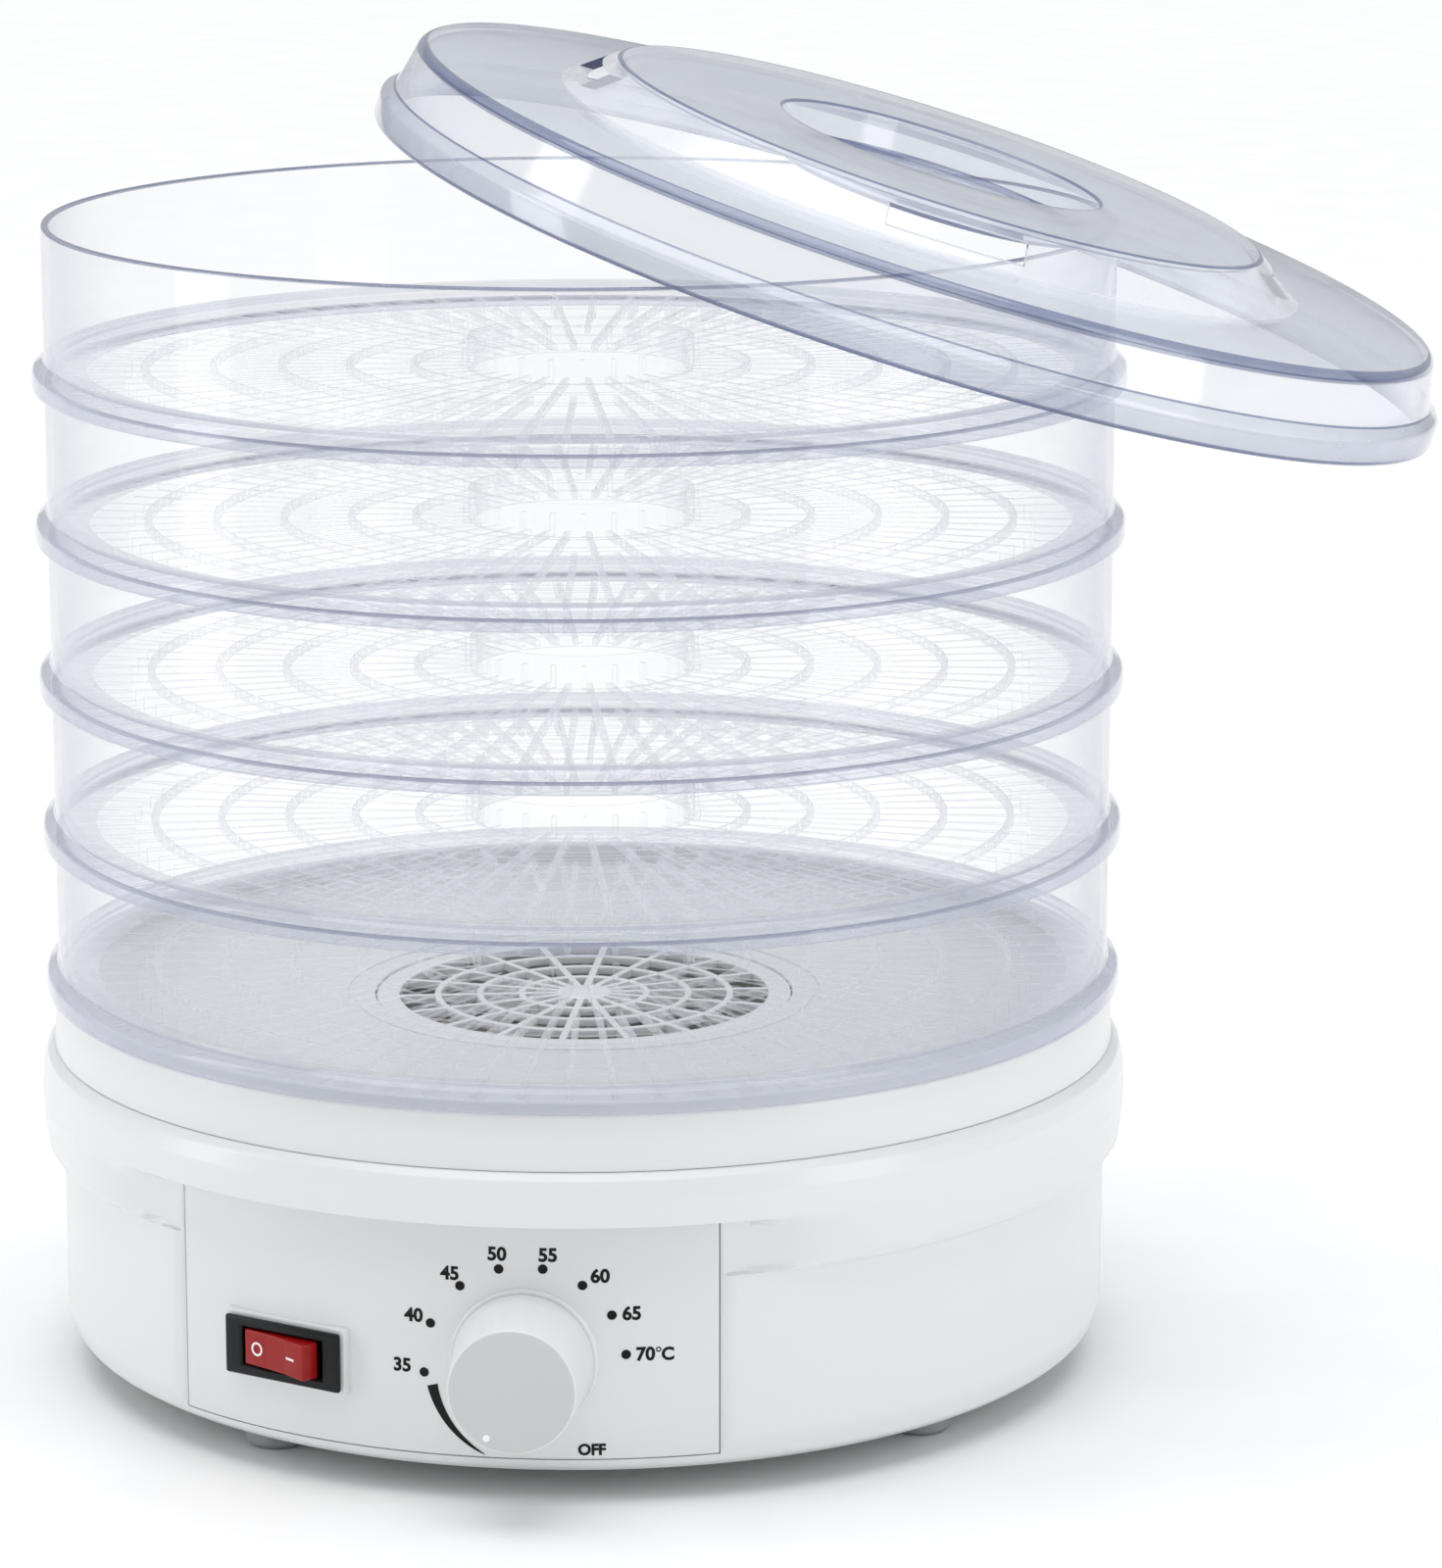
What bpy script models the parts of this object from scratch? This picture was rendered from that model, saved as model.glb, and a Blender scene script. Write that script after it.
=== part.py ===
"""Round food dehydrator: five clear stacking trays and a lid on a fan-heated base.

Metres, +Z up. The origin is the centre of the underside cover's lower face, and the control panel
faces -Y. Heights are given from the surface that the feet stand on, which FLOOR places in the part's
axes. An azimuth is an angle in degrees from -Y towards +X. The lid lies askew on the top tray.
"""

from math import cos, pi, radians, sin, sqrt, tan

import bmesh
import bpy
from mathutils import Matrix, Vector

MM = 0.001
GAP = 0.3 * MM
SEGMENTS = 40

# Stack
TRAY_COUNT = 5
TRAY_PITCH = 43.0 * MM
FIRST_FLANGE_Z = 114.0 * MM
WALL_RADIUS = 150.0 * MM
WALL_THICKNESS = 2.2 * MM
FLANGE_RADIUS = 153.4 * MM
LIP_INNER_RADIUS = 150.6 * MM
SHELF_DROP = 1.5 * MM
LIP_DROP = 4.8 * MM
RIM_HEIGHT = TRAY_PITCH - SHELF_DROP - GAP
FLOOR_THICKNESS = 2.2 * MM
CHIMNEY_RADIUS = 30.0 * MM
CHIMNEY_HEIGHT = 8.0 * MM
SLOT_COUNT = 20
SLOT_WIDTH = 7.0 * MM
SLOT_RADII = (46.0 * MM, 138.0 * MM)

# Lid, in its own axes with its flange at z = 0
LID_THICKNESS = 1.8 * MM
LID_LIP_DROP = 6.8 * MM
LID_TOP = 17.8 * MM
PLATEAU_TOP = 28.0 * MM
PLATEAU_RADIUS = 93.0 * MM
PLATEAU_FOOT = 106.0 * MM
BOWL_RADIUS = 46.2 * MM
BOWL_FLOOR = 17.5 * MM
VENT_COUNT = 4
VENT_WIDTH = 38.0 * MM
VENT_HEIGHT = 5.0 * MM
VENT_AZIMUTH = 99.0
LID_SHIFT = 91.0 * MM
LID_TILT = 17.3
LID_DIRECTION = 8.0
LID_CLEARANCE = 0.9 * MM

# Base
FOOT_HEIGHT = 7.7 * MM
BASE_BOTTOM = 8.0 * MM
CREASE_Z = 93.0 * MM
COLLAR_RADIUS = 155.4 * MM
BODY_RADIUS = 149.6 * MM
BODY_INNER = 147.0 * MM
LEDGE_Z = 62.6 * MM
DECK_TOP = 104.0 * MM
DECK_UNDERSIDE = 101.5 * MM
OUTLET_RADIUS = 60.0 * MM
COVER_RADIUS = 137.2 * MM
COVER_TOP = 10.8 * MM

# Front controls
PANEL_RADIUS = 148.3 * MM
PANEL_THICKNESS = 2.6 * MM
PANEL_HALF_ANGLE = 30.6
PANEL_BOTTOM = 13.0 * MM
PANEL_TOP = 79.0 * MM
SHOULDER_HALF_ANGLE = 47.0
KNOB_AZIMUTH = 10.3
KNOB_Z = 40.5 * MM
KNOB_HEIGHT = 27.0 * MM
POINTER_ANGLE = 208.0
SWITCH_AZIMUTH = -16.2
SWITCH_Z = 36.2 * MM
ROCKER_TILT = 12.0

# Inside
FAN_Z = 61.5 * MM
FAN_RADIUS = 62.0 * MM
BLADE_COUNT = 7
DUCT_RADIUS = 70.0 * MM
GLAND_Z = 30.0 * MM
FOOT_RING = 126.0 * MM
FOOT_AZIMUTHS = (64.0, -26.0, 154.0, -116.0)
SCREW_RING = 132.8 * MM
SCREW_AZIMUTHS = (19.0, 109.0, -161.0, -71.0)

# The surface that the feet stand on, seen from the underside cover's lower face
FLOOR = Matrix.Translation((0.0, 0.0, -(BASE_BOTTOM + GAP)))

# Finishes: colour, roughness, metallic, alpha
WHITE_PLASTIC = ((0.86, 0.87, 0.87), 0.28, 0.0, 1.0)
CLEAR_PLASTIC = ((0.84, 0.87, 0.95), 0.08, 0.0, 0.35)
BLACK_PLASTIC = ((0.015, 0.016, 0.017), 0.35, 0.0, 1.0)
RED_PLASTIC = ((0.55, 0.02, 0.02), 0.2, 0.0, 0.9)
GREY_RUBBER = ((0.32, 0.33, 0.34), 0.8, 0.0, 1.0)
STEEL = ((0.62, 0.62, 0.63), 0.35, 1.0, 1.0)
MICA = ((0.52, 0.42, 0.28), 0.6, 0.0, 1.0)


def start_empty():
    """Removes what the scene holds and returns the collections for parts and for cutters."""
    for item in list(bpy.data.objects):
        bpy.data.objects.remove(item, do_unlink=True)
    parts = bpy.data.collections.new("food_dehydrator")
    cutters = bpy.data.collections.new("cutters")
    bpy.context.scene.collection.children.link(parts)
    bpy.context.scene.collection.children.link(cutters)
    return parts, cutters


PARTS, CUTTERS = start_empty()


def place(item, finish=None):
    """Links a part with its own material, or a cutter when it has no finish."""
    if finish is None:
        CUTTERS.objects.link(item)
        item.hide_render = True
        item.display_type = "WIRE"
        return item
    PARTS.objects.link(item)
    colour, roughness, metallic, alpha = finish
    material = bpy.data.materials.new(item.name)
    material.use_nodes = True
    shader = material.node_tree.nodes["Principled BSDF"]
    shader.inputs["Base Color"].default_value = (*colour, 1.0)
    shader.inputs["Roughness"].default_value = roughness
    shader.inputs["Metallic"].default_value = metallic
    shader.inputs["Alpha"].default_value = alpha
    item.data.materials.append(material)
    return item


def polar(radius, azimuth):
    """The point in plan at a radius and an azimuth."""
    return radius * sin(radians(azimuth)), -radius * cos(radians(azimuth))


def facing_out(azimuth, radius, height):
    """Axes on a round wall: X to the right as seen from outside, Y up, Z outwards."""
    x, y = polar(1.0, azimuth)
    turn = Matrix(((-y, 0.0, x), (x, 0.0, y), (0.0, 1.0, 0.0))).to_4x4()
    return FLOOR @ Matrix.Translation((x * radius, y * radius, height)) @ turn


def standing(azimuth, radius, height):
    """Axes on a level surface, turned to an azimuth."""
    x, y = polar(radius, azimuth)
    return FLOOR @ Matrix.Translation((x, y, height)) @ Matrix.Rotation(radians(azimuth), 4, "Z")


def from_bmesh(name, bm, finish, matrix):
    """Makes a placed object of a bmesh."""
    bmesh.ops.recalc_face_normals(bm, faces=bm.faces)
    mesh = bpy.data.meshes.new(name)
    bm.to_mesh(mesh)
    bm.free()
    item = place(bpy.data.objects.new(name, mesh), finish)
    item.matrix_world = matrix
    return item


def box(name, low, high, finish=None, matrix=FLOOR):
    """A box between two corners."""
    bm = bmesh.new()
    centre = [(a + b) / 2 for a, b in zip(low, high)]
    size = [b - a for a, b in zip(low, high)]
    bmesh.ops.create_cube(bm, size=1.0, matrix=Matrix.Translation(centre) @ Matrix.Diagonal((*size, 1.0)))
    return from_bmesh(name, bm, finish, matrix)


def cylinder(name, radius, bottom, top, finish=None, matrix=FLOOR, segments=16, top_radius=None):
    """A cylinder, or a cone, along its own Z."""
    bm = bmesh.new()
    bmesh.ops.create_cone(
        bm,
        cap_ends=True,
        segments=segments,
        radius1=radius,
        radius2=radius if top_radius is None else top_radius,
        depth=top - bottom,
        matrix=Matrix.Translation((0, 0, (top + bottom) / 2)),
    )
    item = from_bmesh(name, bm, finish, matrix)
    shade(item)
    return item


def shade(item):
    """Smooth shading with the sharp edges kept."""
    item.data.shade_smooth()
    item.data.set_sharp_from_angle(angle=radians(35))


def turned(name, outline, finish, matrix=FLOOR, segments=SEGMENTS, closed=True):
    """A turned shape. The outline is in millimetres of radius and height, down its outer side."""
    mesh = bpy.data.meshes.new(name)
    points = [(radius * MM, 0.0, height * MM) for radius, height in outline]
    edges = [(i, i + 1) for i in range(len(points) - 1)]
    if closed:
        edges.append((len(points) - 1, 0))
    mesh.from_pydata(points, edges, [])
    item = place(bpy.data.objects.new(name, mesh), finish)
    item.matrix_world = matrix
    screw = item.modifiers.new("turn", "SCREW")
    screw.axis = "Z"
    screw.steps = segments
    screw.render_steps = segments
    screw.use_merge_vertices = True
    screw.merge_threshold = 0.00001
    return item


def from_outline(name, points, bottom, top, finish=None, matrix=FLOOR):
    """A flat outline in plan made as thick as it is between two heights."""
    curve = bpy.data.curves.new(name, "CURVE")
    curve.dimensions = "2D"
    curve.fill_mode = "BOTH"
    curve.extrude = (top - bottom) / 2
    spline = curve.splines.new("POLY")
    spline.points.add(len(points) - 1)
    for point, (x, y) in zip(spline.points, points):
        point.co = (x, y, 0.0, 1.0)
    spline.use_cyclic_u = True
    guide = bpy.data.objects.new(name + "_outline", curve)
    CUTTERS.objects.link(guide)
    guide.matrix_world = matrix @ Matrix.Translation((0, 0, (top + bottom) / 2))
    bpy.context.view_layer.update()
    mesh = bpy.data.meshes.new_from_object(guide.evaluated_get(bpy.context.evaluated_depsgraph_get()))
    bm = bmesh.new()
    bm.from_mesh(mesh)
    bmesh.ops.remove_doubles(bm, verts=bm.verts, dist=0.000001)
    item = from_bmesh(name, bm, finish, guide.matrix_world.copy())
    bpy.data.objects.remove(guide, do_unlink=True)
    return item


def sector(name, inner, outer, low_angle, high_angle, bottom, top, finish=None, step=2.0):
    """A stretch of a round wall between two azimuths."""
    count = max(2, round((high_angle - low_angle) / step))
    angles = [low_angle + (high_angle - low_angle) * i / count for i in range(count + 1)]
    points = [polar(outer, angle) for angle in angles]
    points += [polar(inner, angle) for angle in reversed(angles)]
    return from_outline(name, points, bottom, top, finish)


def combine(target, other, operation="DIFFERENCE"):
    """A Boolean of a part with a cutter."""
    change = target.modifiers.new(operation.lower(), "BOOLEAN")
    change.operation = operation
    change.solver = "EXACT"
    change.object = other


def radial_slots(name, count, inner, outer, width, bottom, top, first=0.0):
    """A cutter of boxes that point away from the centre."""
    bm = bmesh.new()
    for index in range(count):
        turn = Matrix.Rotation(radians(first + index * 360.0 / count), 4, "Z")
        shift = Matrix.Translation(((inner + outer) / 2, 0, (bottom + top) / 2))
        size = Matrix.Diagonal((outer - inner, width, top - bottom, 1.0))
        bmesh.ops.create_cube(bm, size=1.0, matrix=turn @ shift @ size)
    return from_bmesh(name, bm, None, FLOOR)


def parent_to_axis(name, matrix, children):
    """An empty on a joint's axis that carries the pieces that turn about it."""
    axis = bpy.data.objects.new(name, None)
    PARTS.objects.link(axis)
    axis.matrix_world = matrix
    bpy.context.view_layer.update()
    for child in children:
        world = child.matrix_world.copy()
        child.parent = axis
        child.matrix_parent_inverse = axis.matrix_world.inverted()
        child.matrix_world = world


def make_trays():
    """Five trays, each with a lip that drops over the rim below it."""
    wall = WALL_RADIUS / MM
    inner = (WALL_RADIUS - WALL_THICKNESS) / MM
    rim = RIM_HEIGHT / MM
    shelf = -SHELF_DROP / MM
    floor = (FLOOR_THICKNESS - SHELF_DROP) / MM
    flange = FLANGE_RADIUS / MM
    lip = LIP_INNER_RADIUS / MM
    drop = -LIP_DROP / MM
    chimney = CHIMNEY_RADIUS / MM
    collar = CHIMNEY_HEIGHT / MM
    outline = [
        (inner, rim), (wall, rim), (wall, 3.6), (flange, 1.2), (flange, drop + 1.2), (flange - 1.2, drop),
        (lip, drop), (lip, shelf), (chimney, shelf), (chimney, collar), (chimney + 2, collar),
        (chimney + 2, floor), (inner, floor),
    ]
    first = 180.0 / SEGMENTS
    stack_top = FIRST_FLANGE_Z + TRAY_COUNT * TRAY_PITCH
    slots = radial_slots(
        "floor_slots", SLOT_COUNT, *SLOT_RADII, SLOT_WIDTH, FIRST_FLANGE_Z - 8 * MM, stack_top, first
    )
    for index in range(TRAY_COUNT):
        height = FIRST_FLANGE_Z + index * TRAY_PITCH
        tray = turned(f"tray_{index + 1}", outline, CLEAR_PLASTIC, FLOOR @ Matrix.Translation((0, 0, height)))
        combine(tray, slots)


def lid_matrix():
    """Where the lid lies: its lip on the top rim on one side, its plateau over the rim on the other."""
    tilt = radians(LID_TILT)
    rim_z = FIRST_FLANGE_Z + (TRAY_COUNT - 1) * TRAY_PITCH + RIM_HEIGHT
    rim_radius = WALL_RADIUS - WALL_THICKNESS / 2
    lip_radius = LIP_INNER_RADIUS + WALL_THICKNESS / 2
    # The plan of the tilted lip is an ellipse, which crosses the rim at this distance.
    a = 1 / cos(tilt) ** 2 - 1
    b = -2 * LID_SHIFT / cos(tilt) ** 2
    c = LID_SHIFT ** 2 / cos(tilt) ** 2 + rim_radius ** 2 - lip_radius ** 2
    crossing = (-b - sqrt(b * b - 4 * a * c)) / (2 * a)
    lip_z = rim_z + LID_CLEARANCE - (LID_SHIFT - crossing) * tan(tilt)
    turn = Matrix.Rotation(radians(LID_DIRECTION), 4, "Z") @ Matrix.Rotation(tilt, 4, "Y")
    along = Vector((cos(radians(LID_DIRECTION)), sin(radians(LID_DIRECTION)), 0.0))
    corner = along * LID_SHIFT + Vector((0, 0, lip_z))
    return FLOOR @ Matrix.Translation(corner + turn @ Vector((0, 0, LID_LIP_DROP))) @ turn


def make_lid():
    """The lid: flange, low wall, flat ring, raised plateau and a finger bowl in its middle."""
    top = LID_TOP / MM
    thick = LID_THICKNESS / MM
    plateau = PLATEAU_TOP / MM
    edge = PLATEAU_RADIUS / MM
    foot = PLATEAU_FOOT / MM
    bowl = BOWL_RADIUS / MM
    floor = BOWL_FLOOR / MM
    flange = FLANGE_RADIUS / MM
    lip = LIP_INNER_RADIUS / MM
    drop = -LID_LIP_DROP / MM
    outline = [
        (0.0, floor), (bowl - 5, floor), (bowl - 2.5, floor + 2.5), (bowl, plateau), (edge - 2.2, plateau),
        (edge + 0.4, plateau - 1.6), (foot, top), (144.0, top - 0.3), (148.0, top - 4.0),
        (150.0, 3.4), (flange, 1.2), (flange, drop + 1.2), (flange - 1.2, drop), (lip, drop),
        (lip, -1.5), (147.9, -1.5), (146.0, top - 4.8), (143.4, top - 0.3 - thick),
        (foot - 1.4, top - thick), (edge - 1.7, plateau - 2.4), (edge - 2.8, plateau - thick),
        (bowl + 2.0, plateau - thick), (bowl - 0.8, floor + 1.6), (bowl - 4.2, floor - thick),
        (0.0, floor - thick),
    ]
    matrix = lid_matrix()
    lid = turned("lid", outline, CLEAR_PLASTIC, matrix, closed=False)
    vents = radial_slots(
        "lid_vents", VENT_COUNT, PLATEAU_RADIUS - 8 * MM, PLATEAU_RADIUS + 12 * MM, VENT_WIDTH,
        LID_TOP + 2.0 * MM, LID_TOP + 2.0 * MM + VENT_HEIGHT, VENT_AZIMUTH,
    )
    vents.matrix_world = matrix
    combine(lid, vents)


def make_base_shells():
    """Lower housing, upper cover with its deck, and the underside cover."""
    body = BODY_RADIUS / MM
    inner = BODY_INNER / MM
    collar = COLLAR_RADIUS / MM
    crease = CREASE_Z / MM
    ledge = LEDGE_Z / MM
    bottom = BASE_BOTTOM / MM
    housing = turned("base_housing", [
        (145.4, crease + 6.5), (148.2, crease + 6.5), (148.2, crease), (151.4, crease), (153.8, crease - 1.4),
        (collar - 0.4, crease - 6), (collar, crease - 14), (collar - 0.8, crease - 23),
        (collar - 2.6, crease - 28), (body, ledge), (body, 18), (body - 1.2, 12.6), (body - 4.6, 9.2),
        (body - 9, bottom), (137.6, bottom), (137.6, COVER_TOP / MM + 0.3), (128, COVER_TOP / MM + 0.3),
        (128, 14.5), (142, 14.5), (inner, 19), (inner, crease - 3), (145.4, crease - 3),
    ], WHITE_PLASTIC)
    window = sector(
        "panel_window", 140 * MM, 160 * MM, -PANEL_HALF_ANGLE - 0.15, PANEL_HALF_ANGLE + 0.15,
        PANEL_BOTTOM - GAP, PANEL_TOP + GAP,
    )
    shoulder = sector(
        "shoulder_recess", PANEL_RADIUS + GAP, 160 * MM, -SHOULDER_HALF_ANGLE, SHOULDER_HALF_ANGLE,
        LEDGE_Z, PANEL_TOP + GAP,
    )
    combine(housing, shoulder)
    combine(housing, window)
    combine(housing, cylinder("gland_hole", 7 * MM, -20 * MM, 20 * MM, None, facing_out(180, BODY_RADIUS, GLAND_Z)))

    deck = DECK_TOP / MM
    under = DECK_UNDERSIDE / MM
    outlet = OUTLET_RADIUS / MM
    rim = (FIRST_FLANGE_Z - SHELF_DROP - GAP) / MM
    turned("top_cover", [
        (147.4, rim), (150.0, rim), (150.0, 108.8), (150.9, 108.4), (151.6, crease + 0.4),
        (148.6, crease + 0.4), (148.6, under), (outlet + 3, under), (outlet + 3, 98), (outlet - 3, 98),
        (outlet - 3, 100.6), (outlet, 100.6), (outlet, deck), (147.4, deck),
    ], WHITE_PLASTIC)

    cover = cylinder("bottom_cover", COVER_RADIUS, BASE_BOTTOM + GAP, COVER_TOP, WHITE_PLASTIC, segments=SEGMENTS)
    combine(cover, radial_slots("intake_slots", 16, 22 * MM, 54 * MM, 5 * MM, 0, 20 * MM))
    holes = bmesh.new()
    for azimuth in SCREW_AZIMUTHS:
        spot = standing(azimuth, SCREW_RING, 8 * MM)
        bmesh.ops.create_cone(
            holes, cap_ends=True, segments=12, radius1=1.9 * MM, radius2=1.9 * MM, depth=11 * MM, matrix=spot
        )
    screw_holes = from_bmesh("screw_holes", holes, None, Matrix())
    combine(cover, screw_holes)
    combine(housing, screw_holes)


def make_controls():
    """Curved panel, knob with its thermostat, and the rocker switch."""
    panel = sector(
        "control_panel", PANEL_RADIUS - PANEL_THICKNESS, PANEL_RADIUS, -PANEL_HALF_ANGLE, PANEL_HALF_ANGLE,
        PANEL_BOTTOM, PANEL_TOP, WHITE_PLASTIC, step=3.4,
    )
    dial = facing_out(KNOB_AZIMUTH, PANEL_RADIUS, KNOB_Z)
    spot = facing_out(SWITCH_AZIMUTH, PANEL_RADIUS, SWITCH_Z)
    combine(panel, cylinder("knob_seat", 19.9 * MM, -2 * MM, 1.2 * MM, None, dial, 28), "UNION")
    combine(panel, box("switch_pad", (-19.6 * MM, -9.3 * MM, -2 * MM), (19.6 * MM, 9.3 * MM, 0.7 * MM), None, spot), "UNION")
    combine(panel, cylinder("shaft_hole", 5.4 * MM, -9 * MM, 9 * MM, None, dial, 16))
    combine(panel, box("switch_hole", (-15 * MM, -6.6 * MM, -9 * MM), (15 * MM, 6.6 * MM, 9 * MM), None, spot))

    knob = turned("knob", [
        (0.0, 27.0), (15.4, 27.0), (17.2, 25.6), (18.6, 4.2), (19.0, 1.6), (16.2, 1.6), (15.4, 20.0),
        (6.0, 20.0), (6.0, 8.0), (3.4, 8.0), (3.4, 22.4), (0.0, 22.4),
    ], WHITE_PLASTIC, dial, 28, closed=False)
    pointer = radians(POINTER_ANGLE)
    mark = Matrix.Translation((14.0 * MM * sin(pointer), 14.0 * MM * cos(pointer), 0))
    combine(knob, cylinder("knob_mark", 0.9 * MM, 25 * MM, 27.3 * MM, None, dial @ mark, 12), "UNION")

    shaft = cylinder("thermostat_shaft", 3 * MM, -8 * MM, 22 * MM, STEEL, dial, 14)
    turned("thermostat_body", [
        (3.4, -0.6), (5.0, -0.6), (5.0, -5.0), (15.0, -5.0), (15.0, -22.0), (0.0, -22.0), (0.0, -8.6), (3.4, -8.6),
    ], STEEL, dial, 20)
    turned("thermostat_nut", [
        (3.4, 4.6), (6.8, 4.6), (6.8, 1.5), (3.4, 1.5),
    ], STEEL, dial, 12)
    parent_to_axis("knob_axis", dial, (knob, shaft))

    bezel = box("switch_housing", (-18.6 * MM, -8.2 * MM, 1.0 * MM), (18.6 * MM, 8.2 * MM, 2.7 * MM), BLACK_PLASTIC, spot)
    combine(bezel, box("switch_case", (-14.6 * MM, -6.2 * MM, -20 * MM), (14.6 * MM, 6.2 * MM, 2 * MM), None, spot), "UNION")
    combine(bezel, box("switch_well", (-13.2 * MM, -5.4 * MM, -9 * MM), (13.2 * MM, 5.4 * MM, 9 * MM), None, spot))
    rocker_turn = spot @ Matrix.Rotation(radians(-ROCKER_TILT), 4, "Y")
    half = 11.5 * MM
    face = 4.9 * MM
    outline = [
        (-half, face), (-half - 0.6 * MM, 0.0), (-6 * MM, -5.5 * MM), (6 * MM, -5.5 * MM), (half + 0.6 * MM, 0.0),
        (half, face), (4 * MM, face - 0.7 * MM), (-4 * MM, face - 0.7 * MM),
    ]
    upright = rocker_turn @ Matrix.Rotation(pi / 2, 4, "X")
    rocker = from_outline("rocker", outline, -5.0 * MM, 5.0 * MM, RED_PLASTIC, upright)
    parent_to_axis("rocker_axis", spot, (rocker,))


def make_fan():
    """Motor on its strap, shaft and impeller."""
    low = 11.2 * MM
    high = 33.6 * MM
    sheet = 1.6 * MM
    strap = [
        (-78 * MM, low), (-60.4 * MM, low), (-60.4 * MM, high - sheet), (60.4 * MM, high - sheet), (60.4 * MM, low),
        (78 * MM, low), (78 * MM, low + sheet), (62 * MM, low + sheet), (62 * MM, high), (-62 * MM, high),
        (-62 * MM, low + sheet), (-78 * MM, low + sheet),
    ]
    bracket = from_outline("motor_bracket", strap, -11 * MM, 11 * MM, STEEL, FLOOR @ Matrix.Rotation(pi / 2, 4, "X"))
    motor = turned("fan_motor", [
        (2.5, 58.0), (9.0, 58.0), (9.0, 55.0), (24.0, 53.0), (25.0, 50.0), (25.0, 38.0), (22.0, 34.0),
        (0.0, 34.0), (0.0, 48.0), (2.5, 48.0),
    ], STEEL, segments=24)
    for index, side in enumerate((-1, 1)):
        spot = FLOOR @ Matrix.Translation((side * 16 * MM, 0, 0))
        hole = cylinder(f"motor_hole_{index + 1}", 1.9 * MM, 25 * MM, 40 * MM, None, spot, 12)
        combine(bracket, hole)
        combine(motor, hole)
        turned(f"motor_screw_{index + 1}", [
            (0.0, 38.0), (1.5, 38.0), (1.5, 31.7), (3.2, 31.7), (3.2, 29.6), (0.0, 29.6),
        ], STEEL, spot, 12, closed=False)

    shaft = cylinder("motor_shaft", 2 * MM, 49 * MM, 70 * MM, STEEL, segments=12)
    hub_top = FAN_Z + 11 * MM
    impeller = cylinder("fan_impeller", 13 * MM, FAN_Z, hub_top, BLACK_PLASTIC, segments=21)
    blades = bmesh.new()
    for index in range(BLADE_COUNT):
        turn = Matrix.Rotation(2 * pi * index / BLADE_COUNT, 4, "Z")
        shift = Matrix.Translation(((9 * MM + FAN_RADIUS) / 2, 0, FAN_Z + 5.5 * MM))
        pitch = Matrix.Rotation(radians(24), 4, "X")
        size = Matrix.Diagonal((FAN_RADIUS - 9 * MM, 22 * MM, 1.6 * MM, 1.0))
        bmesh.ops.create_cube(blades, size=1.0, matrix=turn @ shift @ pitch @ size)
    combine(impeller, from_bmesh("fan_blades", blades, None, FLOOR), "UNION")
    combine(impeller, cylinder("hub_bore", 2.3 * MM, FAN_Z - 5 * MM, 70.3 * MM, None, segments=12))
    parent_to_axis("fan_axis", FLOOR @ Matrix.Translation((0, 0, FAN_Z)), (shaft, impeller))


def make_heater():
    """Sheet duct under the deck with the mica cross, the coil and the thermal cut-out."""
    duct = DUCT_RADIUS / MM
    turned("heater_duct", [(duct - 1, 101.1), (duct, 101.1), (duct, 76), (duct - 1, 76)], STEEL, segments=32)
    reach = DUCT_RADIUS - 2 * MM
    mica = box("heater_mica", (-reach, -0.6 * MM, 80 * MM), (reach, 0.6 * MM, 92 * MM), MICA)
    combine(mica, box("mica_cross", (-0.6 * MM, -reach, 80 * MM), (0.6 * MM, reach, 92 * MM)), "UNION")
    curve = bpy.data.curves.new("heating_coil", "CURVE")
    curve.dimensions = "3D"
    curve.bevel_depth = 1.4 * MM
    curve.bevel_resolution = 2
    curve.use_fill_caps = True
    turns = 2
    steps = 24 * turns
    spline = curve.splines.new("POLY")
    spline.points.add(steps)
    for index, point in enumerate(spline.points):
        angle = 2 * pi * turns * index / steps
        radius = (28 + 28 * index / steps) * MM
        point.co = (radius * cos(angle), radius * sin(angle), 94.0 * MM, 1.0)
    coil = place(bpy.data.objects.new("heating_coil", curve), STEEL)
    coil.matrix_world = FLOOR
    cylinder("thermal_cutout", 4.2 * MM, 80 * MM, 98 * MM, STEEL, standing(125, DUCT_RADIUS + 4.6 * MM, 0), 12)


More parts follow.
